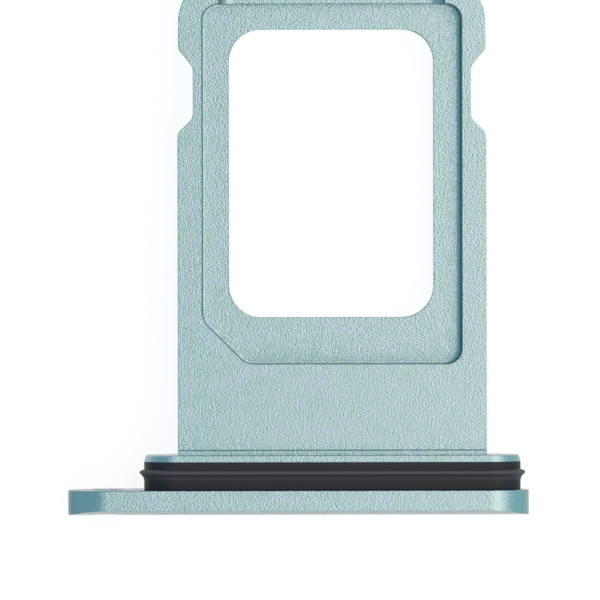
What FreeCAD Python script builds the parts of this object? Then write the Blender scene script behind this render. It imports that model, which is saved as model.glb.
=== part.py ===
import FreeCAD, Part
import math
import os

from FreeCAD import Vector

# A SIM card tray: one machined and blasted aluminium tray, and the silicone gasket round its plug.
#
# Lengths are in millimetres. While the pieces are made, X runs along the face plate with zero at its
# middle, Y points the way the tray goes into the phone with zero at the back of the face plate, and
# Z points up out of the card pocket with zero at mid-height. The last step moves both pieces into
# the part's own frame, with its origin under the middle of the tray.


# Face plate, the bar that closes the slot in the phone's edge
FACE_LENGTH = 15.885
FACE_HEIGHT = 2.74
FACE_THICKNESS = 0.87        # at mid-height, where the crowned front stands proudest
FACE_FRONT_RADIUS = 5.60     # the front is part of a cylinder that lies along X
FACE_FRONT_EDGE = 0.05       # rounding of the front rim
FACE_BACK_EDGE = 0.05        # rounding of the back rim

# Eject hole, which shares its centre with the round left end of the face plate
EJECT_BORE_DIAMETER = 1.12
EJECT_MOUTH_DIAMETER = 1.40
EJECT_MOUTH_DEPTH = 0.20

# Plug behind the face plate: a neck that the gasket sits on, and a flange that holds it there
PLUG_LENGTH = 12.96
SIDE_OVERHANG = 0.33         # how far the face plate stands past the plug at its top and bottom
END_OVERHANG = 0.293         # and past its right end
GROOVE_WIDTH = 0.97
GROOVE_DEPTH = 0.38
FLANGE_THICKNESS = 0.23
FLANGE_TAPER = 0.045         # how much smaller the flange's radius is at its far face
FLANGE_EDGE = 0.05

# Shoulder on both faces of the card frame, where it grows out of the flange
SHOULDER_LENGTH = 0.16
SHOULDER_RISE = 0.16         # above the frame's face
SHOULDER_EDGE = 0.05
SHOULDER_FOOT = 0.07         # hollow fillet at its foot

# Gasket: a ring as wide as the groove, with one wiper lip
GASKET_PROUD = 0.01          # how far its body stands past the flange
GASKET_EDGE = 0.03           # break of the body's two rims
LIP_HEIGHT = 0.16            # of the tip above the body
LIP_PLACE = 0.595            # distance of the tip from the face plate
LIP_TIP_RADIUS = 0.07
LIP_TIP_TURN = 50.0          # degrees of that rounding on each side of the tip
LIP_FAR_FOOT = 0.11          # from the tip to the foot of the steep flank, towards the card frame
LIP_NEAR_FOOT = 0.30         # and to the foot of the long hollow flank, towards the face plate

# Nano card that the pocket is made for, and its play in the pocket
CARD_LENGTH = 12.30
CARD_WIDTH = 8.80
CARD_THICKNESS = 0.67
CARD_END_PLAY = 0.06
CARD_SIDE_PLAY = 0.08
CARD_TOP_PLAY = 0.03

# Card pocket
POCKET_CORNER = 0.55
POCKET_KEY = 1.52            # leg of the slanted corner, which takes the card's cut corner
POCKET_FLOOR_FILLET = 0.08
POCKET_EDGE = 0.02           # break of its rim

# Card frame round the pocket
APRON_LENGTH = 3.12          # from the flange to the pocket
RAIL_WIDTH = 0.835           # beside the pocket
FAR_BAR_WIDTH = 1.06         # beyond the pocket
FRAME_CORNER = 1.70
FRAME_EDGE = 0.05            # break of its outer edges
ROOT_FILLET = 0.07           # where its sides run into the flange

# Ledge that the card lies on, and the window that it leaves
LEDGE_THICKNESS = 0.40
LEDGE_NEAR = 1.62
LEDGE_FAR = 0.88
LEDGE_LEFT = 0.93
LEDGE_RIGHT = 0.983
WINDOW_CORNER = 1.10
WINDOW_EDGE = 0.03

# Latch notch in each rail, where the phone's springs catch the tray
NOTCH_WALL = 0.305           # what it leaves of the rail
NOTCH_LENGTH = 2.87
NOTCH_FROM_END = 2.64        # from its far corner to the far end of the frame
NOTCH_FAR_SLOPE = 40.0       # degrees between the slope and the rail
NOTCH_NEAR_SLOPE = 47.0
NOTCH_INNER_RADIUS = 0.38
NOTCH_FAR_RADIUS = 0.10
NOTCH_NEAR_RADIUS = 0.35
HEAD_SETBACK = 0.025         # how far the head beyond the notches stands inside the rails

# Relief in the far bar, for a fingernail under the card
RELIEF_STEP = 0.30           # height of its bottom above the ledge
RELIEF_END_RADIUS = 0.55
RELIEF_EDGE = 0.02

# Places and sizes that follow
FACE_RADIUS = FACE_HEIGHT / 2
FACE_STRAIGHT = FACE_LENGTH - FACE_HEIGHT
PLUG_RADIUS = FACE_RADIUS - SIDE_OVERHANG
PLUG_STRAIGHT = PLUG_LENGTH - 2 * PLUG_RADIUS
BODY_MIDDLE = FACE_LENGTH / 2 - END_OVERHANG - PLUG_LENGTH / 2
NECK_RADIUS = PLUG_RADIUS - GROOVE_DEPTH
FLANGE_FAR = GROOVE_WIDTH + FLANGE_THICKNESS
FRAME_START = GROOVE_WIDTH + FLANGE_THICKNESS / 2
POCKET_LENGTH = CARD_LENGTH + 2 * CARD_END_PLAY
POCKET_WIDTH = CARD_WIDTH + 2 * CARD_SIDE_PLAY
POCKET_DEPTH = CARD_THICKNESS + CARD_TOP_PLAY
POCKET_NEAR = FLANGE_FAR + APRON_LENGTH
POCKET_FAR = POCKET_NEAR + POCKET_LENGTH
POCKET_LEFT = BODY_MIDDLE - POCKET_WIDTH / 2
POCKET_RIGHT = BODY_MIDDLE + POCKET_WIDTH / 2
FRAME_FAR = POCKET_FAR + FAR_BAR_WIDTH
FRAME_WIDTH = POCKET_WIDTH + 2 * RAIL_WIDTH
FRAME_TOP = (LEDGE_THICKNESS + POCKET_DEPTH) / 2
LEDGE_TOP = FRAME_TOP - POCKET_DEPTH
CLEAR = 1.0                  # how far a cutter runs past what it cuts


def rounded_corner(corner, toward_a, toward_b, radius):
    """Start, middle and end of the arc that rounds a corner between the ways to its two neighbours."""
    half = toward_a.getAngle(toward_b) / 2
    reach = radius / math.tan(half)
    bisector = (toward_a + toward_b).normalize()
    start = corner + toward_a * reach
    middle = corner + bisector * (radius / math.sin(half) - radius)
    end = corner + toward_b * reach
    return start, middle, end


def rounded_loop(corners, height):
    """Flat closed outline at one height: corners are (x, y, radius), and radius 0 leaves one sharp."""
    points = [Vector(x, y, height) for x, y, radius in corners]
    turns = []
    for index, (x, y, radius) in enumerate(corners):
        corner = points[index]
        back = (points[index - 1] - corner).normalize()
        ahead = (points[(index + 1) % len(points)] - corner).normalize()
        if radius > 0:
            turns.append(rounded_corner(corner, back, ahead, radius))
        else:
            turns.append((corner, corner, corner))
    edges = []
    for index, (start, middle, end) in enumerate(turns):
        if (end - start).Length > 0:
            edges.append(Part.Arc(start, middle, end).toShape())
        following = turns[(index + 1) % len(turns)][0]
        edges.append(Part.makeLine(end, following))
    return Part.Wire(edges)


def prism(corners, bottom, top):
    """Upright solid on a rounded outline."""
    face = Part.Face(rounded_loop(corners, bottom))
    return face.extrude(Vector(0, 0, top - bottom))


def stadium_loop(middle_x, straight, radius, y):
    """Outline with two straight sides and two round ends, across the tray at one place along it."""
    left = middle_x - straight / 2
    right = middle_x + straight / 2
    upper = Part.makeLine(Vector(left, y, radius), Vector(right, y, radius))
    lower = Part.makeLine(Vector(right, y, -radius), Vector(left, y, -radius))
    right_end = Part.Arc(Vector(right, y, radius), Vector(right + radius, y, 0), Vector(right, y, -radius))
    left_end = Part.Arc(Vector(left, y, -radius), Vector(left - radius, y, 0), Vector(left, y, radius))
    return Part.Wire([upper, right_end.toShape(), lower, left_end.toShape()])


def stadium_bar(middle_x, straight, radius, near, far):
    """Bar with round ends between two places along the tray."""
    face = Part.Face(stadium_loop(middle_x, straight, radius, near))
    return face.extrude(Vector(0, far - near, 0))


def section_across(points, width):
    """Solid whose section, a closed loop of straight sides in the Y-Z plane, runs along X."""
    face = Part.Face(Part.makePolygon(points + points[:1]))
    return face.extrude(Vector(width, 0, 0))


def edges_where(shape, test):
    """Edges of a shape whose middle point passes a test."""
    found = []
    for edge in shape.Edges:
        middle = edge.valueAt((edge.FirstParameter + edge.LastParameter) / 2)
        if test(middle):
            found.append(edge)
    return found


def same(value, target):
    """True where two lengths agree to a thousandth of a millimetre."""
    return abs(value - target) < 0.001


def crown():
    """Block whose front is the crowned front of the face plate."""
    reach = FACE_RADIUS + CLEAR
    fall = FACE_FRONT_RADIUS - math.sqrt(FACE_FRONT_RADIUS ** 2 - reach ** 2)
    left = -FACE_LENGTH / 2 - CLEAR
    top = Vector(left, fall - FACE_THICKNESS, reach)
    proudest = Vector(left, -FACE_THICKNESS, 0)
    bottom = Vector(left, fall - FACE_THICKNESS, -reach)
    back_top = Vector(left, CLEAR, reach)
    back_bottom = Vector(left, CLEAR, -reach)
    edges = [Part.Arc(top, proudest, bottom).toShape(), Part.makeLine(bottom, back_bottom),
             Part.makeLine(back_bottom, back_top), Part.makeLine(back_top, top)]
    return Part.Face(Part.Wire(edges)).extrude(Vector(FACE_LENGTH + 2 * CLEAR, 0, 0))


def on_crown(place):
    """True for a point on the cylinder that the crowned front is part of."""
    return same(math.hypot(place.y + FACE_THICKNESS - FACE_FRONT_RADIUS, place.z), FACE_FRONT_RADIUS)


def eject_hole():
    """Bore for the eject pin, with a wider mouth at the front."""
    middle_x = -FACE_STRAIGHT / 2
    bore_radius = EJECT_BORE_DIAMETER / 2
    mouth_radius = EJECT_MOUTH_DIAMETER / 2
    flare = (mouth_radius - bore_radius) / EJECT_MOUTH_DEPTH
    outside = Vector(middle_x, -FACE_THICKNESS - CLEAR, 0)
    inwards = Vector(0, 1, 0)
    bore = Part.makeCylinder(bore_radius, FACE_THICKNESS + 2 * CLEAR, outside, inwards)
    mouth = Part.makeCone(mouth_radius + flare * CLEAR, bore_radius, EJECT_MOUTH_DEPTH + CLEAR, outside, inwards)
    return bore.fuse(mouth)


def face_plate():
    """Bar with round ends, a crowned front and softened rims, pierced by the eject hole."""
    plate = stadium_bar(0, FACE_STRAIGHT, FACE_RADIUS, -FACE_THICKNESS, 0).common(crown())
    plate = plate.makeFillet(FACE_BACK_EDGE, edges_where(plate, lambda place: same(place.y, 0)))
    plate = plate.makeFillet(FACE_FRONT_EDGE, edges_where(plate, on_crown))
    return plate.cut(eject_hole())


def plug():
    """Neck that carries the gasket, and the tapered flange that closes the groove."""
    neck = stadium_bar(BODY_MIDDLE, PLUG_STRAIGHT, NECK_RADIUS, -FACE_THICKNESS / 2, FRAME_START)
    near_loop = stadium_loop(BODY_MIDDLE, PLUG_STRAIGHT, PLUG_RADIUS, GROOVE_WIDTH)
    far_loop = stadium_loop(BODY_MIDDLE, PLUG_STRAIGHT, PLUG_RADIUS - FLANGE_TAPER, FLANGE_FAR)
    flange = Part.makeLoft([near_loop, far_loop], True, True)
    far_rim = edges_where(flange, lambda place: same(place.y, FLANGE_FAR))
    return neck.fuse(flange.makeChamfer(FLANGE_EDGE, far_rim))


def root_shoulder(side):
    """Step between the flange and the top (side 1) or underside (side -1) of the card frame."""
    left = BODY_MIDDLE - FRAME_WIDTH / 2
    far = FLANGE_FAR + SHOULDER_LENGTH
    top = FRAME_TOP + SHOULDER_RISE
    hollow = SHOULDER_FOOT * (1 - math.sqrt(0.5))

    def at(y, height):
        return Vector(left, y, side * height)

    foot = Part.Arc(at(far, FRAME_TOP + SHOULDER_FOOT), at(far + hollow, FRAME_TOP + hollow),
                    at(far + SHOULDER_FOOT, FRAME_TOP))
    outline = Part.makePolygon([at(far + SHOULDER_FOOT, FRAME_TOP), at(far + SHOULDER_FOOT, 0), at(FRAME_START, 0),
                                at(FRAME_START, top), at(far - SHOULDER_EDGE, top), at(far, top - SHOULDER_EDGE),
                                at(far, FRAME_TOP + SHOULDER_FOOT)])
    return Part.Face(Part.Wire(outline.Edges + [foot.toShape()])).extrude(Vector(FRAME_WIDTH, 0, 0))


def frame_outline():
    """Corners of the card frame's outline, with a latch notch in each rail."""
    half = FRAME_WIDTH / 2
    head = half - HEAD_SETBACK
    inner = half - RAIL_WIDTH + NOTCH_WALL
    far = FRAME_FAR - NOTCH_FROM_END
    near = far - NOTCH_LENGTH
    far_run = (head - inner) / math.tan(math.radians(NOTCH_FAR_SLOPE))
    near_run = (half - inner) / math.tan(math.radians(NOTCH_NEAR_SLOPE))
    side = [
        (half + 2 * ROOT_FILLET, FRAME_START, 0),
        (half + 2 * ROOT_FILLET, FLANGE_FAR, 0),
        (half, FLANGE_FAR, ROOT_FILLET),
        (half, near, NOTCH_NEAR_RADIUS),
        (inner, near + near_run, NOTCH_INNER_RADIUS),
        (inner, far - far_run, NOTCH_INNER_RADIUS),
        (head, far, NOTCH_FAR_RADIUS),
        (head, FRAME_FAR, FRAME_CORNER),
    ]
    right = [(BODY_MIDDLE + x, y, radius) for x, y, radius in side]
    left = [(BODY_MIDDLE - x, y, radius) for x, y, radius in reversed(side)]
    return right + left


def pocket_outline():
    """Corners of the card pocket, slanted where the card has its cut corner."""
    return [
        (POCKET_LEFT + POCKET_KEY, POCKET_NEAR, POCKET_CORNER),
        (POCKET_RIGHT, POCKET_NEAR, POCKET_CORNER),
        (POCKET_RIGHT, POCKET_FAR, POCKET_CORNER),
        (POCKET_LEFT, POCKET_FAR, POCKET_CORNER),
        (POCKET_LEFT, POCKET_NEAR + POCKET_KEY, POCKET_CORNER),
    ]


def window_outline():
    """Corners of the window, one ledge inside the pocket's walls."""
    left = POCKET_LEFT + LEDGE_LEFT
    right = POCKET_RIGHT - LEDGE_RIGHT
    near = POCKET_NEAR + LEDGE_NEAR
    far = POCKET_FAR - LEDGE_FAR
    return [(left, near, WINDOW_CORNER), (right, near, WINDOW_CORNER),
            (right, far, WINDOW_CORNER), (left, far, WINDOW_CORNER)]


def pocket_cutter():
    """What the pocket takes away, with a fillet where its walls meet the ledge."""
    cutter = prism(pocket_outline(), LEDGE_TOP, FRAME_TOP + CLEAR)
    foot = edges_where(cutter, lambda place: same(place.z, LEDGE_TOP))
    return cutter.makeFillet(POCKET_FLOOR_FILLET, foot)


def relief_cutter():
    """What the relief takes away: a flat-bottomed trough across the far bar, with rounded ends."""
    left = POCKET_LEFT + POCKET_CORNER
    right = POCKET_RIGHT - POCKET_CORNER
    near = POCKET_FAR - POCKET_FLOOR_FILLET
    bottom = LEDGE_TOP + RELIEF_STEP
    rise = bottom + RELIEF_END_RADIUS
    above = rise + CLEAR
    hollow = RELIEF_END_RADIUS * (1 - math.sqrt(0.5))
    left_rise = Vector(left, near, rise)
    left_foot = Vector(left + RELIEF_END_RADIUS, near, bottom)
    right_rise = Vector(right, near, rise)
    right_foot = Vector(right - RELIEF_END_RADIUS, near, bottom)
    left_above = Vector(left, near, above)
    right_above = Vector(right, near, above)
    edges = [
        Part.Arc(left_rise, Vector(left + hollow, near, bottom + hollow), left_foot).toShape(),
        Part.makeLine(left_foot, right_foot),
        Part.Arc(right_foot, Vector(right - hollow, near, bottom + hollow), right_rise).toShape(),
        Part.makeLine(right_rise, right_above),
        Part.makeLine(right_above, left_above),
        Part.makeLine(left_above, left_rise),
    ]
    return Part.Face(Part.Wire(edges)).extrude(Vector(0, FRAME_FAR - near + CLEAR, 0))


def relief_edge_cutter():
    """Corner that is broken where the relief's bottom meets the pocket's far wall."""
    left = POCKET_LEFT + POCKET_CORNER + RELIEF_END_RADIUS
    right = POCKET_RIGHT - POCKET_CORNER - RELIEF_END_RADIUS
    bottom = LEDGE_TOP + RELIEF_STEP
    corners = [Vector(left, POCKET_FAR - RELIEF_EDGE, bottom - 2 * RELIEF_EDGE),
               Vector(left, POCKET_FAR + 2 * RELIEF_EDGE, bottom + RELIEF_EDGE),
               Vector(left, POCKET_FAR - RELIEF_EDGE, bottom + RELIEF_EDGE)]
    return section_across(corners, right - left)


def inside(corners, place):
    """True for a point on or inside the box round an outline."""
    xs = [x for x, y, radius in corners]
    ys = [y for x, y, radius in corners]
    slack = 0.001
    return min(xs) - slack < place.x < max(xs) + slack and min(ys) - slack < place.y < max(ys) + slack


def card_frame():
    """Flat frame that holds the card: latch notches, keyed pocket, ledge, window and far relief."""
    plate = prism(frame_outline(), -FRAME_TOP, FRAME_TOP)
    outer = edges_where(plate, lambda place: same(abs(place.z), FRAME_TOP) and not same(place.y, FRAME_START))
    plate = plate.makeChamfer(FRAME_EDGE, outer).cut(pocket_cutter())
    rim = edges_where(plate, lambda place: same(place.z, FRAME_TOP) and inside(pocket_outline(), place))
    plate = plate.makeChamfer(POCKET_EDGE, rim)
    plate = plate.cut(prism(window_outline(), -FRAME_TOP - CLEAR, FRAME_TOP + CLEAR))

    def on_window_rim(place):
        on_a_face = same(place.z, LEDGE_TOP) or same(place.z, -FRAME_TOP)
        return on_a_face and inside(window_outline(), place)

    plate = plate.makeChamfer(WINDOW_EDGE, edges_where(plate, on_window_rim))
    return plate.cut([relief_cutter(), relief_edge_cutter()])


def make_tray():
    """The whole metal piece: face plate, plug and card frame in one."""
    return face_plate().fuse([plug(), card_frame(), root_shoulder(1), root_shoulder(-1)]).removeSplitter()


def gasket_section(x):
    """Section of the gasket above the neck: a block with broken corners, and the wiper lip on it."""
    body = PLUG_RADIUS + GASKET_PROUD
    turn = math.radians(LIP_TIP_TURN)
    reach = LIP_TIP_RADIUS * math.sin(turn)
    drop = LIP_TIP_RADIUS * (1 - math.cos(turn))
    tip = Vector(x, LIP_PLACE, body + LIP_HEIGHT)
    near_tip = tip - Vector(0, reach, drop)
    far_tip = tip + Vector(0, reach, -drop)
    near_foot = Vector(x, LIP_PLACE - LIP_NEAR_FOOT, body)
    far_foot = Vector(x, LIP_PLACE + LIP_FAR_FOOT, body)
    run = near_tip.y - near_foot.y
    rise = near_tip.z - near_foot.z
    flank_radius = (run ** 2 + rise ** 2) / (2 * rise)
    lean = math.atan2(rise, run)
    flank_middle = near_foot + Vector(0, math.sin(lean), 1 - math.cos(lean)) * flank_radius
    corners = [far_tip, far_foot,
               Vector(x, GROOVE_WIDTH - GASKET_EDGE, body), Vector(x, GROOVE_WIDTH, body - GASKET_EDGE),
               Vector(x, GROOVE_WIDTH, NECK_RADIUS), Vector(x, 0, NECK_RADIUS),
               Vector(x, 0, body - GASKET_EDGE), Vector(x, GASKET_EDGE, body), near_foot]
    flank = Part.Arc(near_foot, flank_middle, near_tip).toShape()
    rounding = Part.Arc(near_tip, tip, far_tip).toShape()
    return Part.Face(Part.Wire(Part.makePolygon(corners).Edges + [flank, rounding]))


def make_gasket():
    """Ring round the neck: the section runs straight along both sides and turns round each end."""
    left = BODY_MIDDLE - PLUG_STRAIGHT / 2
    right = BODY_MIDDLE + PLUG_STRAIGHT / 2
    along = Vector(0, 1, 0)
    top = gasket_section(left).extrude(Vector(PLUG_STRAIGHT, 0, 0))
    bottom = top.copy()
    bottom.rotate(Vector(BODY_MIDDLE, 0, 0), along, 180)
    left_end = gasket_section(left).revolve(Vector(left, 0, 0), along, -180)
    right_end = gasket_section(right).revolve(Vector(right, 0, 0), along, 180)
    return top.fuse([bottom, left_end, right_end]).removeSplitter()


def main():
    """Make both pieces, move them into the part's frame and write one file for each."""
    os.makedirs("parts", exist_ok=True)
    to_frame = Vector(0, (FACE_THICKNESS - FRAME_FAR) / 2, FACE_RADIUS)
    pieces = {"tray": make_tray(), "gasket": make_gasket()}
    for name, shape in pieces.items():
        shape.translate(to_frame)
        solid = shape.Solids[0]
        solid.exportStep(os.path.join("parts", name + ".step"))
        box = solid.optimalBoundingBox()
        print(name, "solids", len(shape.Solids), "valid", solid.isValid(), "volume", round(solid.Volume, 3),
              "size", round(box.XLength, 3), round(box.YLength, 3), round(box.ZLength, 3))


main()
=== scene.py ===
# %% [markdown]
# # A SIM card tray, modelled and finished in Blender
#
# The real tray is a small, exact thing: one piece of aluminium, milled, blasted with fine beads and
# anodised, with a ring of black silicone stretched round its plug. It is 18.7 mm long, so every edge
# break and every grain of the blasting shows in a close photograph.
#
# The imported CAD model gives the sizes and the place. Its surfaces are made of flat facets, which is
# wrong for a close look at metal. So both pieces are modelled again here, on the same drawing, with
# finer curves and smooth shading, and each one replaces its CAD node.

# %% Load the CAD model as a fixed frame
import math

import bmesh
import bpy
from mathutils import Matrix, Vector


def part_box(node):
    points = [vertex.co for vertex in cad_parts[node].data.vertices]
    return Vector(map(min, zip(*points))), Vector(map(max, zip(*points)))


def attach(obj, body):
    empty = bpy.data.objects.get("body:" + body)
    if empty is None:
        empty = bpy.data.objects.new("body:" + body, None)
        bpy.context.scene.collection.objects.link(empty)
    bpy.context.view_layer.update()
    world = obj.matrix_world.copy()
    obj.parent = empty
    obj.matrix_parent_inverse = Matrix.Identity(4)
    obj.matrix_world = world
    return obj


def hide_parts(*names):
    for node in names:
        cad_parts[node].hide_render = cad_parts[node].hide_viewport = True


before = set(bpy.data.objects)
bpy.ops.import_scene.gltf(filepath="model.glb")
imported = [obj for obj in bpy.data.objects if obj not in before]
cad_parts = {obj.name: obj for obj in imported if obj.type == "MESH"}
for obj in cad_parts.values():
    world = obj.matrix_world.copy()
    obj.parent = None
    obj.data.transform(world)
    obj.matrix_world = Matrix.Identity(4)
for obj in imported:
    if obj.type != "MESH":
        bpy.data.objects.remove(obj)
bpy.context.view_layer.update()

bpy.ops.object.select_all(action="DESELECT")
for node_name in sorted(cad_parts):
    low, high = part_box(node_name)
    print(node_name, "measures", [round(1000 * side, 2) for side in high - low], "mm")

# %% [markdown]
# # The drawing
#
# A machinist works from a drawing with one zero, so the pieces are modelled in millimetres from the
# drawing's own zero: the middle of the face plate's back, at mid-height. X runs along the face plate,
# Y goes into the phone and Z comes up out of the card pocket. Blender's tools have fixed tolerances
# that suit objects of this size in millimetres better than in metres. Each finished piece is made
# a thousand times smaller at the end, when it goes to its place on the frame.

# %% Sizes of the tray, in millimetres
face_length, face_height, face_thickness = 15.885, 2.74, 0.87
crown_radius = 5.60
eject_bore, eject_mouth, mouth_depth = 1.12, 1.40, 0.20
plug_length, side_overhang, end_overhang = 12.96, 0.33, 0.293
groove_width, groove_depth = 0.97, 0.38
flange_thickness, flange_taper = 0.23, 0.045
shoulder_length, shoulder_rise, shoulder_foot = 0.16, 0.16, 0.07
pocket_length, pocket_width, pocket_depth = 12.42, 8.96, 0.70
apron_length, rail_width, far_bar_width = 3.12, 0.835, 1.06
ledge_thickness = 0.40

face_radius = face_height / 2
face_straight = face_length - face_height
plug_radius = face_radius - side_overhang
plug_straight = plug_length - 2 * plug_radius
neck_radius = plug_radius - groove_depth
body_middle = face_length / 2 - end_overhang - plug_length / 2
flange_far = groove_width + flange_thickness
frame_start = groove_width + flange_thickness / 2
pocket_near = flange_far + apron_length
pocket_far = pocket_near + pocket_length
pocket_left = body_middle - pocket_width / 2
pocket_right = body_middle + pocket_width / 2
frame_far = pocket_far + far_bar_width
frame_half = pocket_width / 2 + rail_width
frame_top = (ledge_thickness + pocket_depth) / 2
ledge_top = frame_top - pocket_depth
print("the card frame is", round(2 * frame_half, 2), "mm wide and ends", round(frame_far, 2),
      "mm behind the face plate")

# %% [markdown]
# # Selecting by place
#
# By hand you would click the edges to bevel. In a script they are chosen by where they are, which has
# a gain: the choice still holds when a size changes. `pick` takes a test on the corners of each
# vertex, edge or face. The other helpers here extrude or move what is selected, and close a piece
# when its shape is done.

# %% Helpers for modelling
tolerance = 1e-4


def same(value, target):
    return abs(value - target) < tolerance


def pick(kind, test):
    """Select the vertices, edges or faces whose list of corners passes a test, and nothing else."""
    bpy.ops.mesh.select_mode(type=kind)
    bpy.ops.mesh.select_all(action="DESELECT")
    mesh = bmesh.from_edit_mesh(bpy.context.object.data)
    if kind == "VERT":
        chosen = [corner for corner in mesh.verts if test([corner.co])]
    else:
        elements = mesh.edges if kind == "EDGE" else mesh.faces
        chosen = [element for element in elements if test([corner.co for corner in element.verts])]
    for element in chosen:
        element.select_set(True)
    mesh.select_flush_mode()
    bmesh.update_edit_mesh(bpy.context.object.data)
    return len(chosen)


def extrude(x=0.0, y=0.0, z=0.0):
    bpy.ops.mesh.extrude_region_move(TRANSFORM_OT_translate={"value": (x, y, z)})


def move(x=0.0, y=0.0, z=0.0):
    bpy.ops.transform.translate(value=(x, y, z))


def close_up(piece):
    """Leave edit mode with the faces turned outwards."""
    bpy.ops.mesh.select_all(action="SELECT")
    bpy.ops.mesh.remove_doubles(threshold=1e-5)
    bpy.ops.mesh.normals_make_consistent(inside=False)
    bpy.ops.object.mode_set(mode="OBJECT")
    print(piece.name, "has", len(piece.data.polygons), "faces")


# %% [markdown]
# # Face plate
#
# The face plate is the strip that stays visible in the phone's edge. It has round ends, a front that
# is gently crowned to follow the phone, and rims broken just enough not to feel sharp.
#
# A cube with bevelled ends would have given a flat front. Here half a circle is extruded along the
# plate instead. That lays one strip across for each step of the circle, and the crown is then a
# matter of pushing each row of vertices back by what the cylinder has fallen at its height.

# %% Face plate: strips with round ends
# The steps in half a circle. The neck is hidden under the gasket, so it needs fewer.
end_steps, neck_steps = 36, 24


def round_ended_strips(name, middle, straight, radius, y, steps):
    """A flat sheet with round ends, standing across the tray, in strips from one end to the other."""
    left = middle - straight / 2
    bpy.ops.mesh.primitive_circle_add(vertices=2 * steps, radius=radius, location=(left, y, 0),
                                      rotation=(math.pi / 2, 0, 0))
    piece = bpy.context.object
    piece.name = name
    bpy.ops.object.transform_apply(location=True, rotation=True, scale=True)
    bpy.ops.object.mode_set(mode="EDIT")
    pick("VERT", lambda at: at[0].x > left + tolerance)
    bpy.ops.mesh.delete(type="VERT")
    pick("EDGE", lambda at: True)
    extrude(x=straight)
    bpy.ops.transform.resize(value=(-1, 1, 1), center_override=(left + straight, y, 0))
    return piece


face_plate = round_ended_strips(
    "face_plate", 0, face_straight, face_radius, -face_thickness, end_steps)

# %% Face plate: the crown, one row at a time
def crown_fall(height):
    return crown_radius - math.sqrt(crown_radius ** 2 - height ** 2)


heights = sorted({round(corner.co.z, 6) for corner in bmesh.from_edit_mesh(face_plate.data).verts})
for height in heights:
    pick("VERT", lambda at: abs(at[0].z - height) < 1e-5)
    move(y=crown_fall(height))
print("crowned", len(heights), "rows by up to", round(crown_fall(face_radius), 3), "mm")

# %% Face plate: thickness and broken rims
pick("FACE", lambda at: True)
extrude(y=face_thickness)
bpy.ops.transform.resize(value=(1, 0, 1), center_override=(0, 0, 0))
# From above, the photo shows a hairline along the front rim, so that one is broken a little less.
front_rim, back_rim, rim_turn = 0.03, 0.05, 50
for on_back, rim in ((False, front_rim), (True, back_rim)):
    bpy.ops.mesh.select_mode(type="EDGE")
    bpy.ops.mesh.select_all(action="DESELECT")
    bpy.ops.mesh.edges_select_sharp(sharpness=math.radians(rim_turn))
    mesh = bmesh.from_edit_mesh(face_plate.data)
    for edge in mesh.edges:
        if edge.select and (edge.verts[0].co.y > -face_thickness / 2) != on_back:
            edge.select_set(False)
    bmesh.update_edit_mesh(face_plate.data)
    bpy.ops.mesh.bevel(offset=rim, segments=4, affect="EDGES", clamp_overlap=False)
close_up(face_plate)

# %% [markdown]
# # Eject hole
#
# A pin pushed into this hole drives the tray out. It shares its centre with the round end, and its
# mouth is countersunk so that the pin finds it. A cylinder and a cone are cut away with booleans:
# the hole goes right through, so nothing has to be closed by hand.

# %% Eject hole
def combine(piece, others, operation):
    """Join other closed shapes to a piece, or cut them from it, one after the other."""
    for other in others:
        bpy.context.view_layer.objects.active = piece
        modifier = piece.modifiers.new(operation.lower(), "BOOLEAN")
        modifier.operation = operation
        modifier.object = other
        bpy.ops.object.modifier_apply(modifier=modifier.name)
        bpy.data.objects.remove(other)


hole_steps, drill_length, cone_overrun = 64, 3, 0.5
hole_middle = -face_straight / 2
bpy.ops.mesh.primitive_cylinder_add(
    vertices=hole_steps, radius=eject_bore / 2, depth=drill_length,
    rotation=(math.pi / 2, 0, 0), location=(hole_middle, -face_thickness / 2, 0))
eject_drill = bpy.context.object
flare = (eject_mouth - eject_bore) / 2 / mouth_depth
cone_depth = mouth_depth + cone_overrun
cone_middle = -face_thickness + mouth_depth - cone_depth / 2
bpy.ops.mesh.primitive_cone_add(
    vertices=hole_steps, radius1=eject_bore / 2 + flare * cone_depth, radius2=eject_bore / 2,
    depth=cone_depth, rotation=(-math.pi / 2, 0, 0), location=(hole_middle, cone_middle, 0))
eject_countersink = bpy.context.object
combine(face_plate, [eject_drill, eject_countersink], "DIFFERENCE")
print("face plate with its hole has", len(face_plate.data.polygons), "faces")

# %% [markdown]
# # Plug
#
# Behind the face plate a neck carries the gasket, and a thin flange closes the groove so that the
# gasket can't slip off into the phone. The flange tapers a little, which leads the tray into its
# slot. Both come from the same round-ended strips. For the flange, the strips are dissolved into one
# face, which is extruded and then made a little smaller.

# %% Plug: neck and tapered flange
neck_start = -face_thickness / 2
neck = round_ended_strips("neck", body_middle, plug_straight, neck_radius, neck_start, neck_steps)
pick("FACE", lambda at: True)
extrude(y=frame_start - neck_start)
close_up(neck)

flange_break = 0.05
flange = round_ended_strips("flange", body_middle, plug_straight, plug_radius, groove_width, end_steps)
pick("FACE", lambda at: True)
bpy.ops.mesh.dissolve_faces()
pick("FACE", lambda at: True)
extrude(y=flange_thickness)
length_share = 1 - 2 * flange_taper / plug_length
height_share = 1 - flange_taper / plug_radius
bpy.ops.transform.resize(value=(length_share, 1, height_share), center_override=(body_middle, 0, 0))
pick("EDGE", lambda at: all(same(corner.y, flange_far) for corner in at))
bpy.ops.mesh.bevel(offset=flange_break, segments=3, affect="EDGES", clamp_overlap=False)
close_up(flange)

# %% [markdown]
# # Card frame
#
# The frame is a flat bar milled all round. Its outline carries a notch in each rail, where two
# springs in the phone hold the tray. It starts as a rectangle. One cut across marks where the frame
# leaves the flange, and four more give the notches their corners. The two inner ones are drawn in, and
# each corner is then rounded by bevelling its vertex. The head beyond the notches is a hair narrower
# than the rails, so that it enters the slot easily. The reach of a vertex bevel is the radius times the
# tangent of half the turn.

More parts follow.
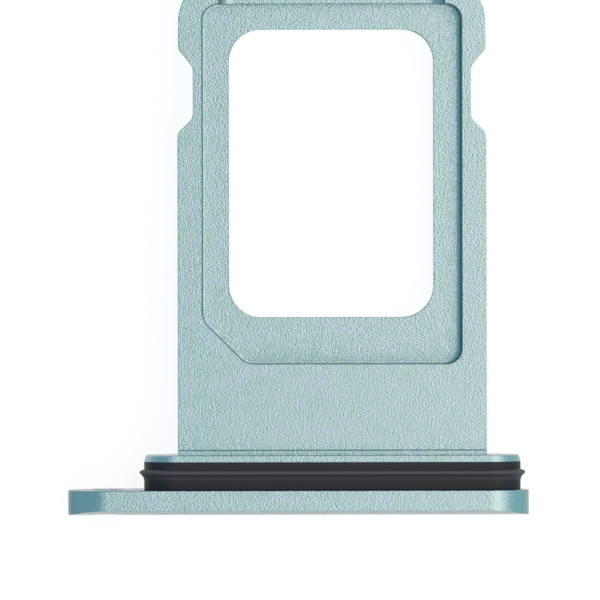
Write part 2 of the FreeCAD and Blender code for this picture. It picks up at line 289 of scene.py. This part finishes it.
# %% Card frame: helpers for flat outlines
def start_plane(name, low, high, z):
    """A rectangle at one height, left open in edit mode."""
    middle = ((low[0] + high[0]) / 2, (low[1] + high[1]) / 2, z)
    bpy.ops.mesh.primitive_plane_add(size=1, location=middle)
    piece = bpy.context.object
    piece.name = name
    piece.scale = (high[0] - low[0], high[1] - low[1], 1)
    bpy.ops.object.transform_apply(location=True, rotation=True, scale=True)
    bpy.ops.object.mode_set(mode="EDIT")
    return piece


def round_corners(test, radius, turn, steps):
    """Round the chosen corners of a flat outline; turn is how many degrees the outline turns there."""
    pick("VERT", test)
    reach = radius * math.tan(math.radians(turn) / 2)
    bpy.ops.mesh.bevel(offset=reach, segments=steps, affect="VERTICES", clamp_overlap=False)


# %% Card frame: outline with the latch notches
head_play, rail_at_notch, head_length, notch_length = 0.025, 0.305, 2.64, 2.87
far_slope, near_slope = 40, 47
root_fillet = 0.07
head_half = frame_half - head_play
inner_half = frame_half - rail_width + rail_at_notch
notch_far = frame_far - head_length
notch_near = notch_far - notch_length
inner_far = notch_far - (head_half - inner_half) / math.tan(math.radians(far_slope))
inner_near = notch_near + (frame_half - inner_half) / math.tan(math.radians(near_slope))
frame_low = (body_middle - frame_half, frame_start)
frame_high = (body_middle + frame_half, frame_far)

card_frame = start_plane("card_frame", frame_low, frame_high, -frame_top)
for level in (flange_far, notch_near, inner_near, inner_far, notch_far):
    bpy.ops.mesh.select_all(action="SELECT")
    bpy.ops.mesh.bisect(plane_co=(0, level, 0), plane_no=(0, 1, 0))
for levels, half in (((inner_near, inner_far), inner_half), ((notch_far, frame_far), head_half)):
    pick("VERT", lambda at: any(same(at[0].y, level) for level in levels))
    bpy.ops.transform.resize(value=(half / frame_half, 1, 1), center_override=(body_middle, 0, 0))
# Inside the flange the outline is made wider. That leaves a corner on each side for the root's fillet.
pick("EDGE", lambda at: same(at[0].x, at[1].x)
     and all(corner.y < flange_far + tolerance for corner in at))
extrude()
wider = 1 + 2 * root_fillet / frame_half
bpy.ops.transform.resize(value=(wider, 1, 1), center_override=(body_middle, 0, 0))
pick("FACE", lambda at: True)
bpy.ops.mesh.dissolve_faces()
round_corners(lambda at: same(at[0].y, flange_far) and same(abs(at[0].x - body_middle), frame_half),
              root_fillet, 90, 4)
# Each later pair of corners has its place along Y, its radius, its turn and its steps.
for level, radius, turn, steps in ((notch_near, 0.35, near_slope, 6), (inner_near, 0.38, near_slope, 6),
                                   (inner_far, 0.38, far_slope, 6), (notch_far, 0.10, far_slope, 3),
                                   (frame_far, 1.70, 90, 18)):
    round_corners(lambda at: same(at[0].y, level), radius, turn, steps)
corner_count = len(bmesh.from_edit_mesh(card_frame.data).verts)
print("the outline has", corner_count, "corners before it is extruded")

# %% Card frame: thickness and broken edges
edge_break = 0.03
pick("FACE", lambda at: True)
extrude(z=2 * frame_top)
pick("EDGE", lambda at: same(at[0].z, at[1].z)
     and not all(same(corner.y, frame_start) for corner in at))
bpy.ops.mesh.bevel(offset=edge_break, segments=3, affect="EDGES", clamp_overlap=False)
close_up(card_frame)

# %% [markdown]
# # Card pocket
#
# The pocket is what an end mill leaves: straight walls, rounded corners and a small fillet along the
# floor. One corner is slanted, to take the card's cut corner. It is easiest to model the air that the
# cutter removes, as a solid of its own. A bevel of one vertex in a single step makes the slant, and
# the air widens just below the top face, which leaves the pocket's rim with its edge broken.
#
# Along the right wall a dark band shows that is twice as wide as at the other walls and thins out
# round the two corners, and along the far wall there is hardly a line. So the fillet is larger and
# steeper on the right, and smallest at the far wall. Each edge of the floor gets a bevel weight by
# its place, and one Bevel modifier that reads the weights makes them all. Then the fillet is drawn up
# in slices, the more the nearer a slice is to the right wall.

# %% Card pocket: the air in it
pocket_low, pocket_high = (pocket_left, pocket_near), (pocket_right, pocket_far)
key, corner_radius, floor_fillet, rim_break = 1.52, 0.55, 0.08, 0.02
# Every cutter's air reaches past the metal by this much, so that no thin skin is left.
overrun = 1
pocket_air = start_plane("pocket_air", pocket_low, pocket_high, ledge_top)
pick("VERT", lambda at: same(at[0].x, pocket_left) and same(at[0].y, pocket_near))
bpy.ops.mesh.bevel(offset=key, segments=1, affect="VERTICES")


def widen(by, low, high):
    """Grow the selection by one length on each side of a box given by its low and high x and y."""
    width, length = high[0] - low[0], high[1] - low[1]
    middle = ((low[0] + high[0]) / 2, (low[1] + high[1]) / 2, 0)
    bpy.ops.transform.resize(value=(1 + 2 * by / width, 1 + 2 * by / length, 1), center_override=middle)


def on_slant(at):
    return same(at[0].x + at[0].y, pocket_left + pocket_near + key)


round_corners(lambda at: not on_slant(at), corner_radius, 90, 10)
round_corners(on_slant, corner_radius, 45, 6)
pick("FACE", lambda at: True)
extrude(z=pocket_depth - rim_break)
pick("FACE", lambda at: all(same(corner.z, frame_top - rim_break) for corner in at))
extrude(z=rim_break)
widen(rim_break, pocket_low, pocket_high)
extrude(z=overrun)

# %% Card pocket: the fillet along its floor
right_fillet, far_fillet = 0.19, 0.03
small_share = floor_fillet / right_fillet
far_share = far_fillet / right_fillet


def rightness(x):
    """Nothing at the left and in the middle, rising round the right corners to one at the right wall."""
    return min(max((x - pocket_right) / corner_radius + 1, 0), 1)


pick("EDGE", lambda at: all(same(corner.z, ledge_top) for corner in at))
floor_edges = [[corner.co.copy() for corner in edge.verts]
               for edge in bmesh.from_edit_mesh(pocket_air.data).edges if edge.select]
for ends in floor_edges:
    middle = (ends[0] + ends[1]) / 2
    share = small_share + (1 - small_share) * rightness(middle.x)
    pick("EDGE", lambda at: all(any((corner - end).length < tolerance for end in ends) for corner in at))
    bpy.ops.transform.edge_bevelweight(value=far_share if same(middle.y, pocket_far) else share)
close_up(pocket_air)
hollow = pocket_air.modifiers.new("hollow foot", "BEVEL")
hollow.limit_method = "WEIGHT"
hollow.width = right_fillet
hollow.segments = 6
hollow.use_clamp_overlap = False
bpy.ops.object.modifier_apply(modifier=hollow.name)
bpy.ops.object.mode_set(mode="EDIT")
# Each slice takes the fillet's vertices up to where the next one starts, and the last takes the wall's.
slices, extra_rise, slack = 11, 0.9, 1e-3
for number in range(slices):
    start = pocket_right - corner_radius * (1 - number / slices)
    end = start + corner_radius / slices
    last = end + (slack if number == slices - 1 else -tolerance)
    pick("VERT", lambda at: start - tolerance < at[0].x <= last
         and ledge_top + tolerance < at[0].z < ledge_top + right_fillet + slack)
    rise = 1 + extra_rise * rightness((start + end) / 2)
    bpy.ops.transform.resize(value=(1, 1, rise), center_override=(0, 0, ledge_top))
bpy.ops.object.mode_set(mode="OBJECT")
print("weighted", len(floor_edges), "floor edges, and", pocket_air.name, "has",
      len(pocket_air.data.polygons), "faces")

# %% [markdown]
# # Window and relief
#
# The card lies on a narrow ledge round a window, through which the phone's contacts reach it. At the
# far end the bar is relieved by a shallow trough with rounded ends, where a fingernail gets under the
# card. The window's air widens at both faces, as the pocket's does, and the trough starts as a block
# whose two lower edges are bevelled. The edge that the trough leaves in the pocket's far wall is then
# broken with one side of a turned cube.

# %% Window in the ledge
ledge_left, ledge_near, ledge_right, ledge_far = 0.93, 1.62, 0.983, 0.88
window_radius, window_break = 1.10, 0.03
window_low = (pocket_left + ledge_left, pocket_near + ledge_near)
window_high = (pocket_right - ledge_right, pocket_far - ledge_far)
window_air = start_plane("window_air", window_low, window_high, -frame_top - overrun)
round_corners(lambda at: True, window_radius, 90, 14)
pick("FACE", lambda at: True)
widen(window_break, window_low, window_high)
extrude(z=overrun)
extrude(z=window_break)
widen(-window_break, window_low, window_high)
extrude(z=ledge_thickness - 2 * window_break)
extrude(z=window_break)
widen(window_break, window_low, window_high)
extrude(z=overrun)
close_up(window_air)

# %% Relief in the far bar
relief_step, relief_round = 0.30, 0.55
relief_bottom = ledge_top + relief_step
relief_low = (pocket_left + corner_radius, pocket_far - floor_fillet)
relief_high = (pocket_right - corner_radius, frame_far + overrun)
relief_air = start_plane("relief_air", relief_low, relief_high, relief_bottom)
pick("FACE", lambda at: True)
extrude(z=frame_top - relief_bottom + overrun)
pick("EDGE", lambda at: all(same(corner.z, relief_bottom) for corner in at)
     and same(at[0].x, at[1].x))
bpy.ops.mesh.bevel(offset=relief_round, segments=14, affect="EDGES", clamp_overlap=False)
close_up(relief_air)

relief_break, side = 0.02, 0.5
away = (side / 2 - relief_break / math.sqrt(2)) / math.sqrt(2)
bpy.ops.mesh.primitive_cube_add(size=side, rotation=(math.pi / 4, 0, 0),
                                location=(body_middle, pocket_far - away, relief_bottom + away))
relief_edge = bpy.context.object
relief_edge.scale.x = (relief_high[0] - relief_low[0] - 2 * relief_round) / side
bpy.ops.object.transform_apply(location=True, rotation=True, scale=True)
combine(card_frame, [pocket_air, window_air, relief_air, relief_edge], "DIFFERENCE")
print("the milled card frame has", len(card_frame.data.polygons), "faces")

# %% [markdown]
# # Root of the frame
#
# Where the thin frame grows out of the flange, the cutter leaves a low shoulder on both faces, with a
# broken edge and a small hollow at its foot, because a sharp inner corner would crack. The shoulder
# is a block with its two far edges bevelled, and the hollow is a second, lower block with a round rod
# taken from each far edge. With them, the shapes of the tray become one by union, as the real one is
# a single piece of metal.

# %% Shoulder and hollow foot, and one piece of metal
shoulder_break = 0.05
shoulder_far = flange_far + shoulder_length
shoulder_top = frame_top + shoulder_rise
shoulder = start_plane("shoulder", frame_low, (frame_high[0], shoulder_far), -shoulder_top)
pick("FACE", lambda at: True)
extrude(z=2 * shoulder_top)
pick("EDGE", lambda at: all(same(corner.y, shoulder_far) for corner in at)
     and same(at[0].z, at[1].z))
bpy.ops.mesh.bevel(offset=shoulder_break, segments=3, affect="EDGES", clamp_overlap=False)
close_up(shoulder)

foot_top = frame_top + shoulder_foot
foot = start_plane("foot", frame_low, (frame_high[0], shoulder_far + shoulder_foot), -foot_top)
pick("FACE", lambda at: True)
extrude(z=2 * foot_top)
close_up(foot)
rods = []
for face in (-1, 1):
    bpy.ops.mesh.primitive_cylinder_add(
        vertices=48, radius=shoulder_foot, depth=2 * (frame_half + overrun),
        rotation=(0, math.pi / 2, 0),
        location=(body_middle, shoulder_far + shoulder_foot, face * foot_top))
    rods.append(bpy.context.object)
combine(foot, rods, "DIFFERENCE")
combine(card_frame, [shoulder, foot, flange, neck, face_plate], "UNION")
tray = card_frame
tray.name = "milled_tray"
print("the tray is one mesh of", len(tray.data.polygons), "faces")

# %% [markdown]
# # Gasket
#
# The gasket keeps water out. It is a moulded ring that fills the groove, with one thin wiper lip that
# presses on the walls of the slot. The long flank of the lip, towards the face plate, is a hollow
# arc, its tip is round, and the other flank is steep. The section starts as an upright plane, and its
# top edge is cut at each place where the lip's curve needs a point, which is then raised to its
# height. A ring of constant section is made by drawing the section once and sending it round: spin it
# about one end, extrude it across, spin it about the other end and extrude it back.

# %% Gasket: the height of its lip
ring_rise, ring_break, long_flank, steep_flank = 0.010, 0.03, 0.30, 0.11
lip_rise, lip_place, tip_radius, tip_turn = 0.16, 0.595, 0.07, math.radians(50)
ring_top = plug_radius + ring_rise
near_foot, far_foot = lip_place - long_flank, lip_place + steep_flank
near_tip = lip_place - tip_radius * math.sin(tip_turn)
tip_side_rise = lip_rise - tip_radius * (1 - math.cos(tip_turn))
hollow_radius = ((near_tip - near_foot) ** 2 + tip_side_rise ** 2) / (2 * tip_side_rise)


def lip_height(y):
    """Height of the lip above the gasket's body, at one place on the hollow flank or the tip."""
    if y < near_tip:
        return hollow_radius - math.sqrt(hollow_radius ** 2 - (y - near_foot) ** 2)
    return lip_rise - tip_radius + math.sqrt(tip_radius ** 2 - (y - lip_place) ** 2)


flank_steps, tip_steps = 7, 10
places = [near_foot + (near_tip - near_foot) * step / flank_steps for step in range(flank_steps)]
places += [lip_place + tip_radius * math.sin(tip_turn * (2 * step / tip_steps - 1))
           for step in range(tip_steps + 1)]
print("the lip is drawn through", len(places) + 1, "points and rises",
      round(max(map(lip_height, places)), 3), "mm")

# %% Gasket: the section
left_end = body_middle - plug_straight / 2
right_end = body_middle + plug_straight / 2
bpy.ops.mesh.primitive_plane_add(size=1, rotation=(math.pi / 2, 0, math.pi / 2))
gasket = bpy.context.object
gasket.name = "gasket_ring"
bpy.ops.object.transform_apply(location=True, rotation=True, scale=True)
bpy.ops.object.mode_set(mode="EDIT")
bpy.ops.transform.resize(value=(1, groove_width, ring_top - neck_radius), center_override=(0, 0, 0))
move(x=left_end, y=groove_width / 2, z=(ring_top + neck_radius) / 2)
for place in places + [far_foot]:
    bpy.ops.mesh.select_all(action="SELECT")
    bpy.ops.mesh.bisect(plane_co=(0, place, 0), plane_no=(0, 1, 0))
for place in places:
    pick("VERT", lambda at: same(at[0].y, place) and same(at[0].z, ring_top))
    move(z=lip_height(place))
pick("FACE", lambda at: True)
bpy.ops.mesh.dissolve_faces()
pick("VERT", lambda at: same(at[0].z, neck_radius) and tolerance < at[0].y < groove_width - tolerance)
bpy.ops.mesh.dissolve_verts()
pick("VERT", lambda at: same(at[0].z, ring_top)
     and (same(at[0].y, 0) or same(at[0].y, groove_width)))
bpy.ops.mesh.bevel(offset=ring_break, segments=3, affect="VERTICES")
pick("FACE", lambda at: True)
bpy.ops.mesh.delete(type="ONLY_FACE")
print("the section has", len(bmesh.from_edit_mesh(gasket.data).verts), "corners")

# %% Gasket: once round the plug
pick("EDGE", lambda at: True)
bpy.ops.mesh.spin(steps=end_steps, angle=math.pi, center=(left_end, 0, 0), axis=(0, 1, 0))
extrude(x=plug_straight)
bpy.ops.mesh.spin(steps=end_steps, angle=math.pi, center=(right_end, 0, 0), axis=(0, 1, 0))
extrude(x=-plug_straight)
close_up(gasket)

# %% [markdown]
# # To its place on the frame
#
# The finished meshes shrink to metres and move to where the CAD pieces are. Smooth shading is kept
# off real corners by an angle, and a Weighted Normal modifier lets the large flat faces decide how
# the small bevels beside them are shaded, so the flats stay flat and only the edges roll over.

# %% Shrink, place and shade both pieces
tray_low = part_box("tray")[0]
drawing_zero = Vector((0, 1000 * tray_low.y + face_thickness, 1000 * tray_low.z + face_radius))


def place(piece, node, slot):
    bpy.ops.object.select_all(action="DESELECT")
    piece.select_set(True)
    bpy.context.view_layer.objects.active = piece
    piece.scale = (0.001, 0.001, 0.001)
    piece.location = drawing_zero / 1000
    bpy.ops.object.transform_apply(location=True, rotation=True, scale=True)
    bpy.ops.object.shade_smooth_by_angle(angle=math.radians(35))
    modifier = piece.modifiers.new("flat faces lead", "WEIGHTED_NORMAL")
    modifier.keep_sharp = True
    modifier.weight = 100
    bpy.ops.object.modifier_apply(modifier=modifier.name)
    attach(piece, "root")
    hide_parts(node)
    print(piece.name, "measures", [round(1000 * side, 2) for side in piece.dimensions], "mm")


place(tray, "tray", "anodised_aluminium")
place(gasket, "gasket", "silicone_rubber")

# %% [markdown]
# # Materials
#
# Colours are written as sRGB hex values, as in any picture editor, and one function turns them to the
# linear values that the shader works in. A second one adds a node with its settings and its links.
# Most sockets are called by name. A Mix node has sockets of the same name for each kind of data, so
# those for colours are called by their numbers.

# %% Helpers for materials
mix_low, mix_high, mix_result = 6, 7, 2


def linear(hex_colour):
    channels = [int(hex_colour[i:i + 2], 16) / 255 for i in (1, 3, 5)]
    return tuple(c / 12.92 if c <= 0.04045 else ((c + 0.055) / 1.055) ** 2.4 for c in channels) + (1.0,)


def add_node(tree, kind, settings=None, inputs=None):
    """Add a node; each input has a name or number, and a value or the output socket of another node."""
    node = tree.nodes.new(kind)
    for name, value in (settings or {}).items():
        setattr(node, name, value)
    for name, value in (inputs or {}).items():
        if isinstance(value, bpy.types.NodeSocket):
            tree.links.new(value, node.inputs[name])
        else:
            node.inputs[name].default_value = value
    return node


def new_material(name):
    material = bpy.data.materials.new(name)
    material.use_nodes = True
    material.node_tree.nodes.clear()
    return material, material.node_tree


# %% [markdown]
# ## Bead-blasted, anodised aluminium
#
# The beads leave small shallow dents that meet one another, 0.03 to 0.06 mm across. Each dent is
# fairly smooth, so it mirrors a soft light or the dark beside it, and the face looks like fine salt
# and pepper. So the shader is a metal of low roughness, and the dents are a bump of real size: a
# rough flat metal with painted specks would not change as it turns.
#
# From above, a pixel is 0.034 mm wide, so the finest dents would be lost. They are drawn a little
# coarser than life along X, where the light's edge brings them out, and in life size along Y. The
# mapping is turned too, because noise has a grid of its own, which shows as rows when a flat face
# lies along it. The dye in the oxide layer isn't even either: over about half a millimetre its colour
# goes from mint to a faint blue-lilac and back, which a slow second noise gives.

# %% Anodised aluminium
aluminium, tree = new_material("bead_blasted_anodised_aluminium")
per_millimetre, off_the_grid = (850, 1500, 1000), (0.5, 0.6, 0.4)
dents_per_millimetre, clouds_per_millimetre, dent_depth = 20.0, 1.7, 0.000023
place_on_piece = add_node(tree, "ShaderNodeTexCoord")
in_millimetres = add_node(tree, "ShaderNodeMapping", inputs={
    "Vector": place_on_piece.outputs["Object"], "Scale": per_millimetre, "Rotation": off_the_grid})
dents = add_node(tree, "ShaderNodeTexNoise", inputs={
    "Vector": in_millimetres.outputs["Vector"], "Scale": dents_per_millimetre, "Detail": 1.0,
    "Roughness": 0.5})
clouds = add_node(tree, "ShaderNodeTexNoise", inputs={
    "Vector": in_millimetres.outputs["Vector"], "Scale": clouds_per_millimetre, "Detail": 2.0})
dent_bump = add_node(tree, "ShaderNodeBump", inputs={
    "Height": dents.outputs["Fac"], "Strength": 1.0, "Distance": dent_depth})
dye = add_node(tree, "ShaderNodeMix", {"data_type": "RGBA"}, {
    "Factor": clouds.outputs["Fac"], mix_low: linear("#AECEC4"), mix_high: linear("#BDD1DD")})
metal = add_node(tree, "ShaderNodeBsdfPrincipled", inputs={
    "Base Color": dye.outputs[mix_result], "Metallic": 1.0, "Roughness": 0.20,
    "Specular Tint": linear("#DAD4D4"), "Normal": dent_bump.outputs["Normal"]})
add_node(tree, "ShaderNodeOutputMaterial", inputs={"Surface": metal.outputs["BSDF"]})
print(aluminium.name, "has", len(tree.nodes), "nodes, and its dents are",
      [round(1000 / scale / dents_per_millimetre, 3) for scale in per_millimetre], "mm along X, Y and Z")

# %% [markdown]
# ## Moulded silicone rubber
#
# Silicone from a spark-eroded mould is matt and very slightly uneven. It isn't quite black: it is
# a dark grey that lightens where the surface turns away. Silicone's low IOR and a high roughness give
# that, with a fine bump for the mould's grain. The tip of the lip is painted paler, and a little of
# its hollow flank too: a painted highlight. The lip runs round the plug at one Y, so a colour ramp
# along Y is enough to place the painted highlight.

# %% Silicone rubber
silicone, tree = new_material("moulded_silicone_rubber")
grains_per_millimetre, grain_depth = 14.0, 0.000004
place_on_piece = add_node(tree, "ShaderNodeTexCoord")
in_millimetres = add_node(tree, "ShaderNodeMapping", inputs={
    "Vector": place_on_piece.outputs["Object"], "Scale": (1000, 1000, 1000)})
mould_grain = add_node(tree, "ShaderNodeTexNoise", inputs={
    "Vector": in_millimetres.outputs["Vector"], "Scale": grains_per_millimetre, "Detail": 3.0})
grain_bump = add_node(tree, "ShaderNodeBump", inputs={
    "Height": mould_grain.outputs["Fac"], "Strength": 0.6, "Distance": grain_depth})
shade = add_node(tree, "ShaderNodeMix", {"data_type": "RGBA"}, {
    "Factor": mould_grain.outputs["Fac"], mix_low: linear("#211F26"), mix_high: linear("#29272E")})
along = add_node(tree, "ShaderNodeSeparateXYZ", inputs={"Vector": in_millimetres.outputs["Vector"]})
# The ramp below is a painted highlight: it makes the lip's tip and a little of its hollow flank paler.
painted_highlight_start, painted_highlight_end = 0.30, 0.75
over_lip = add_node(tree, "ShaderNodeMapRange", inputs={
    "Value": along.outputs["Y"],
    "From Min": drawing_zero.y + painted_highlight_start, "From Max": drawing_zero.y + painted_highlight_end})
painted_highlight = add_node(tree, "ShaderNodeValToRGB", inputs={"Fac": over_lip.outputs["Result"]})
# Places along Y in the drawing's millimetres, each with how much painted highlight it gets: the flank,
# then the tip.
flank_painted_highlight = ((0.30, 0.0), (0.40, 0.46), (0.46, 0.46), (0.51, 0.26), (0.54, 0.34))
tip_painted_highlight = ((0.57, 0.95), (0.65, 0.95), (0.72, 0.0))
for number, (y, amount) in enumerate(flank_painted_highlight + tip_painted_highlight):
    position = (y - painted_highlight_start) / (painted_highlight_end - painted_highlight_start)
    stop = painted_highlight.color_ramp.elements[0] if number == 0 else painted_highlight.color_ramp.elements.new(position)
    stop.position = position
    stop.color = (amount, amount, amount, 1)
painted_highlight.color_ramp.elements.remove(painted_highlight.color_ramp.elements[-1])
# Where the ramp paints the highlight, the rubber's colour is mixed towards a pale grey.
shade_with_painted_highlight = add_node(tree, "ShaderNodeMix", {"data_type": "RGBA"}, {
    "Factor": painted_highlight.outputs["Color"], mix_low: shade.outputs[mix_result], mix_high: linear("#524F56")})
rubber = add_node(tree, "ShaderNodeBsdfPrincipled", inputs={
    "Base Color": shade_with_painted_highlight.outputs[mix_result], "Roughness": 0.55, "IOR": 1.43,
    "Normal": grain_bump.outputs["Normal"]})
add_node(tree, "ShaderNodeOutputMaterial", inputs={"Surface": rubber.outputs["BSDF"]})
# The length printed here is that of the painted highlight's ramp along the lip.
print(silicone.name, "has", len(tree.nodes), "nodes, and its wear runs over",
      round(painted_highlight_end - painted_highlight_start, 2), "mm")

# %% Give each piece its material
for piece, material in ((tray, aluminium), (gasket, silicone)):
    piece.data.materials.clear()
    piece.data.materials.append(material)
    print(piece.name, "is finished as", material.name)

# %% [markdown]
# # Studio
#
# Blasted metal shows the room more than it shows its own colour. One large softbox hangs 200 mm above
# the tray and reaches far to the right. Its left edge is close to the points that the flat faces
# mirror, so dents that lean left catch the dim room and dents that lean right catch the light. That
# edge is what gives the face its grain, and what darkens the left ends of the plates.
#
# The room is a plain blue-grey that grows lighter to the right, as walls do beside a lamp. So the
# edges that face left are bluer than those that face right.

# %% Softbox
def softbox(name, low, high, height, colour, level):
    """A level lamp over a rectangle, given by its low and high x and y in millimetres."""
    width, depth = (high[0] - low[0]) / 1000, (high[1] - low[1]) / 1000
    middle = ((low[0] + high[0]) / 2000, (low[1] + high[1]) / 2000, height / 1000)
    bpy.ops.object.light_add(type="AREA", location=middle)
    lamp = bpy.context.object
    lamp.name = name
    lamp.data.shape = "RECTANGLE"
    lamp.data.size, lamp.data.size_y = width, depth
    # An area lamp shines as bright as its power over pi times its area.
    lamp.data.energy = level * math.pi * width * depth
    lamp.data.color = colour[:3]
    lamp.visible_camera = False
    return lamp


lamp = softbox("softbox", low=(-2.3, -840), high=(220, 840), height=200,
               colour=linear("#E5C6B8"), level=1.55)
print(lamp.name, "gives", round(lamp.data.energy, 3), "W")

# %% Dim room
room_left, room_right = linear("#8BB0BC"), linear("#A5CBD2")
world = bpy.context.scene.world or bpy.data.worlds.new("room")
bpy.context.scene.world = world
world.use_nodes = True
background = world.node_tree.nodes["Background"]
direction = add_node(world.node_tree, "ShaderNodeTexCoord")
sideways = add_node(world.node_tree, "ShaderNodeSeparateXYZ", inputs={
    "Vector": direction.outputs["Generated"]})
rightward = add_node(world.node_tree, "ShaderNodeMapRange", inputs={
    "Value": sideways.outputs["X"], "From Min": -0.2, "From Max": 0.8})
room = add_node(world.node_tree, "ShaderNodeMix", {"data_type": "RGBA"}, {
    "Factor": rightward.outputs["Result"], mix_low: room_left, mix_high: room_right})
world.node_tree.links.new(room.outputs[mix_result], background.inputs["Color"])
background.inputs["Strength"].default_value = 1.0
for side, colour in (("left", room_left), ("right", room_right)):
    print("the room's", side, "shines at", [round(channel, 2) for channel in colour[:3]])

# %% [markdown]
# ## Cards beside the ends
#
# Near the ends of the plates the metal turns so far that it mirrors the white table, and would look
# washed out. A product photographer stands a card just outside the picture, for those parts to mirror
# instead, and the ends turn a clean, deeper colour. Here each card is a plane that glows with the
# room's colour on its side. Only mirrors see it, so it throws no shadow and tints nothing else.

# %% A dim card beside each end
card_length, card_height = 60, 2.8


def dim_card(name, x, colour):
    """A card that stands across the X axis, at a place given in millimetres."""
    bpy.ops.mesh.primitive_plane_add(size=1, rotation=(0, math.pi / 2, 0),
                                     location=(x / 1000, 0, card_height / 2000))
    card = bpy.context.object
    card.name = name
    card.scale = (card_height / 1000, card_length / 1000, 1)
    bpy.ops.object.transform_apply(location=True, rotation=True, scale=True)
    paint, tree = new_material(name + " paint")
    glow = add_node(tree, "ShaderNodeEmission", inputs={"Color": colour, "Strength": 1.0})
    add_node(tree, "ShaderNodeOutputMaterial", inputs={"Surface": glow.outputs["Emission"]})
    card.data.materials.append(paint)
    card.visible_camera = False
    card.visible_diffuse = False
    card.visible_shadow = False
    print(card.name, "stands at", x, "mm and is", card_height, "mm high")


dim_card("left card", -9.0, room_left)
dim_card("right card", 9.4, room_right)

# %% [markdown]
# # Table
#
# The tray lies on a plain white sheet. The sheet is white to the camera and to mirrors, through the
# Light Path node, and keeps a part of its real shading, so that the tray still throws its soft shadow.

# %% White table
bpy.ops.mesh.primitive_plane_add(size=6, location=(0, 0, 0))
table = bpy.context.object
table.name = "table"
paper, tree = new_material("matt_white_paper")
path = add_node(tree, "ShaderNodeLightPath")
seen = add_node(tree, "ShaderNodeMath", {"operation": "MAXIMUM"}, {
    0: path.outputs["Is Camera Ray"], 1: path.outputs["Is Glossy Ray"]})
seen_or_through = add_node(tree, "ShaderNodeMath", {"operation": "MAXIMUM"}, {
    0: seen.outputs["Value"], 1: path.outputs["Is Transmission Ray"]})
plain = add_node(tree, "ShaderNodeBsdfDiffuse", inputs={"Color": (0.8, 0.8, 0.8, 1)})
shaded = add_node(tree, "ShaderNodeBsdfDiffuse", inputs={"Color": (0.2, 0.2, 0.2, 1)})
white = add_node(tree, "ShaderNodeEmission", inputs={"Color": (1, 1, 1, 1), "Strength": 0.88})
shown = add_node(tree, "ShaderNodeAddShader", inputs={
    0: shaded.outputs["BSDF"], 1: white.outputs["Emission"]})
sheet = add_node(tree, "ShaderNodeMixShader", inputs={
    "Fac": seen_or_through.outputs["Value"], 1: plain.outputs["BSDF"], 2: shown.outputs["Shader"]})
add_node(tree, "ShaderNodeOutputMaterial", inputs={"Surface": sheet.outputs["Shader"]})
table.data.materials.append(paper)
print(table.name, "is", round(table.dimensions.x, 1), "m wide, of", paper.name)

# %% [markdown]
# # Camera
#
# The photograph was taken from straight above, through a long lens, so the sides of the tray hardly
# show. The lens axis meets the tray near its middle, and the picture is framed lower than that, which
# is what the small lens shift does.

# %% Camera straight above
lens, sensor, distance, picture_width = 450, 36, 258.6, 600
camera_x, camera_y, camera_turn = 0.0675, 0.03, -0.1
camera_data = bpy.data.cameras.new("camera")
camera_data.lens, camera_data.sensor_width = lens, sensor
camera_data.shift_y = -0.095
camera_data.clip_start, camera_data.clip_end = 0.01, 10
camera = bpy.data.objects.new("camera", camera_data)
bpy.context.collection.objects.link(camera)
camera.location = (camera_x / 1000, camera_y / 1000, (face_radius + distance) / 1000)
camera.rotation_euler = (0, 0, math.radians(camera_turn))
bpy.context.scene.camera = camera
bpy.context.scene.view_settings.view_transform = "Standard"
scale = picture_width * lens / sensor / distance
print("one millimetre is", round(scale, 2), "pixels in the picture")
